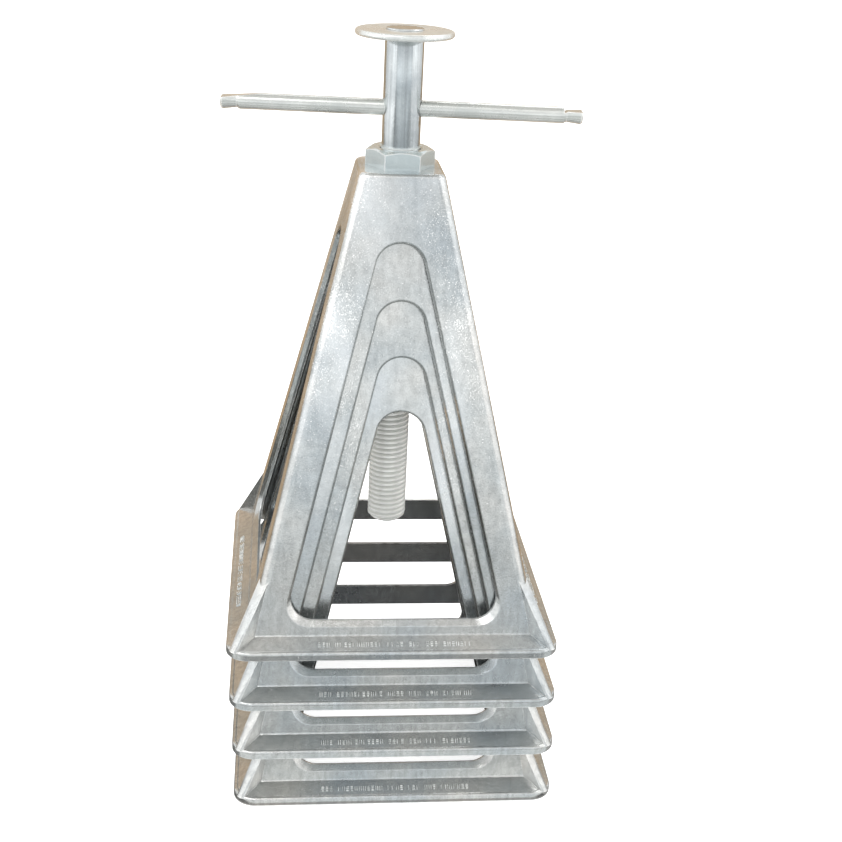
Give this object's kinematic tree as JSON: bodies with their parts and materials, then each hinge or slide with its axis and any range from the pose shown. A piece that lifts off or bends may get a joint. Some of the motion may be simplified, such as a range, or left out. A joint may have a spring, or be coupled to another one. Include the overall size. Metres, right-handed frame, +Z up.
{
  "type": "axle jack stand stack",
  "caption": "Nest of square pyramid cast aluminium stands with triangular windows; the top one carries a screw jack with hex nut, tommy bar and round swivel pad.",
  "frame": {"origin": "on the ground under the screw's axis, at the centre of the whole object's footprint; the three lower stands have slipped 1 to 3 mm along +X", "axes": "+Z up along the screw, X along the tommy bar to within 5 degrees, -Y towards the viewer of the front"},
  "size_m": [0.1646, 0.158, 0.3614],
  "materials": {
    "cast_aluminium": "die cast, lightly tumbled, satin with bright edges",
    "zinc_steel_nut": "bright zinc plated",
    "zinc_steel_screw": "bright zinc plated",
    "zinc_steel_bar": "zinc plated, drawn bar",
    "zinc_steel_pad": "zinc plated pressing"
  },
  "bodies": {
    "bottom_stand": {"stand_1": "cast_aluminium"},
    "second_stand": {"stand_2": "cast_aluminium"},
    "third_stand": {"stand_3": "cast_aluminium"},
    "top_stand": {"stand_4": "cast_aluminium", "hex_nut": "zinc_steel_nut"},
    "pad": {"swivel_pad": "zinc_steel_pad"},
    "screw": {"jack_screw": "zinc_steel_screw"},
    "bar": {"tommy_bar": "zinc_steel_bar"}
  },
  "joints": [
    {"name": "lift_second_stand", "type": "slide", "parent": "bottom_stand", "child": "second_stand", "axis": [0, 0, 1], "range_m": [0, 0.2]},
    {"name": "lift_third_stand", "type": "slide", "parent": "second_stand", "child": "third_stand", "axis": [0, 0, 1], "range_m": [0, 0.2]},
    {"name": "lift_top_stand", "type": "slide", "parent": "third_stand", "child": "top_stand", "axis": [0, 0, 1], "range_m": [0, 0.2]},
    {"name": "pad_rise", "type": "slide", "parent": "top_stand", "child": "pad", "axis": [0, 0, 1], "range_m": [0, 0.1525]},
    {"name": "screw_turn", "type": "hinge", "parent": "pad", "child": "screw", "pos_m": [0, 0, 0.3575], "axis": [0, 0, 1], "range_deg": [0, 21600]},
    {"name": "bar_slide", "type": "slide", "parent": "screw", "child": "bar", "axis": [0.9962, -0.0872, 0], "range_m": [-0.062, 0.062]}
  ],
  "couplings": [
    {"joint": "pad_rise", "follows": "screw_turn", "m_per_rad": 0.00040425}
  ]
}
